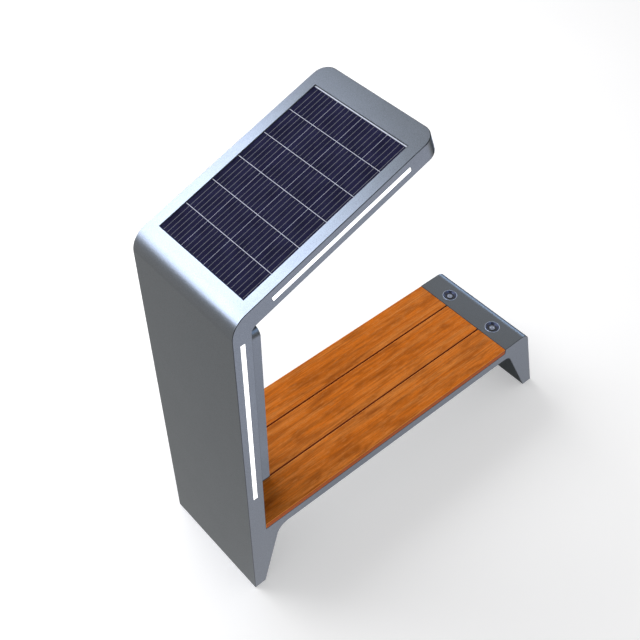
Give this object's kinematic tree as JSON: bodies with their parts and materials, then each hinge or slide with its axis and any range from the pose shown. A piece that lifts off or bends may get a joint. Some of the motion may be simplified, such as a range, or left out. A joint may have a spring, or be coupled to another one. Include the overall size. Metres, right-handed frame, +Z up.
{
  "type": "solar charging bench",
  "caption": "Street bench folded from steel sheet, with a timber seat, a sloping solar roof, side lights, an equipment column and charging ports.",
  "frame": {"origin": "middle of the footprint on the ground", "axes": "+X along the seat from the wall to the end leg, +Y across the seat to the back side, +Z up"},
  "size_m": [1.9106, 0.6, 2.104],
  "materials": {
    "steel_paint": "satin metallic powder coat",
    "inner_steel": "matt primer",
    "timber": "oiled hardwood",
    "stainless_steel": "satin",
    "insert_brass": "plain",
    "panel_glass": "low iron solar glass",
    "silicon_cell": "monocrystalline cell with ribbons",
    "white_sheet": "matt",
    "aluminium_section": "mill finish",
    "black_rubber": "matt",
    "black_plastic": "matt",
    "battery_case": "matt",
    "terminal_plastic": "matt",
    "opal_lens": "opal, lit from behind"
  },
  "bodies": {
    "bench": {"front_side_plate": "steel_paint", "back_side_plate": "steel_paint", "outer_skin": "steel_paint", "inner_skin": "steel_paint", "roof_end_cap": "steel_paint", "foot_skin": "steel_paint", "leg_skin": "steel_paint", "under_cover": "steel_paint", "seat_pan": "inner_steel", "end_skin": "steel_paint", "wall_base_plate": "inner_steel", "leg_base_plate": "inner_steel", "wall_ribs": "inner_steel", "roof_ribs": "inner_steel", "seat_bearers": "inner_steel", "cover_screws": "stainless_steel", "front_board": "timber", "middle_board": "timber", "back_board": "timber", "board_inserts": "insert_brass", "board_bolts": "stainless_steel", "pv_glass": "panel_glass", "pv_cells": "silicon_cell", "pv_backsheet": "white_sheet", "pv_seal": "black_rubber", "pv_tray": "aluminium_section", "tray_studs": "stainless_steel", "junction_box": "black_plastic", "front_wall_lens": "opal_lens", "front_roof_lens": "opal_lens", "back_wall_lens": "opal_lens", "back_roof_lens": "opal_lens", "light_channels": "aluminium_section", "light_boards": "white_sheet", "column_housing": "steel_paint", "door_stop": "inner_steel", "door_gasket": "black_rubber", "housing_hinges": "stainless_steel", "hinge_pins": "stainless_steel", "column_bolts": "stainless_steel", "mounting_plate": "aluminium_section", "charge_controller": "black_plastic", "power_module": "aluminium_section", "terminal_block": "terminal_plastic", "battery": "battery_case", "battery_strap": "stainless_steel", "port_bezels": "stainless_steel", "port_collars": "black_plastic", "port_bodies": "black_plastic", "front_port_spring": "stainless_steel", "back_port_spring": "stainless_steel", "panel_cable": "black_rubber", "charging_cable": "black_rubber"},
    "door": {"column_door": "steel_paint", "door_hinges": "stainless_steel", "lock_sleeve": "stainless_steel"},
    "lock": {"lock_barrel": "stainless_steel", "lock_tongue": "stainless_steel"},
    "front_cap": {"front_push_cap": "stainless_steel"},
    "back_cap": {"back_push_cap": "stainless_steel"}
  },
  "joints": [
    {"name": "door_swing", "type": "hinge", "parent": "bench", "child": "door", "pos_m": [-0.69579, 0.096, 0.9195], "axis": [0, 0, 1], "range_deg": [0, 110]},
    {"name": "lock_turn", "type": "hinge", "parent": "door", "child": "lock", "pos_m": [-0.70129, -0.068, 0.9195], "axis": [1, 0, 0], "range_deg": [0, 90]},
    {"name": "front_cap_press", "type": "slide", "parent": "bench", "child": "front_cap", "axis": [0, 0, -1], "range_m": [0, 0.003], "stiffness_N_per_m": 3000, "springref_m": -0.0015, "deforming": ["front_port_spring"]},
    {"name": "back_cap_press", "type": "slide", "parent": "bench", "child": "back_cap", "axis": [0, 0, -1], "range_m": [0, 0.003], "stiffness_N_per_m": 3000, "springref_m": -0.0015, "deforming": ["back_port_spring"]}
  ]
}
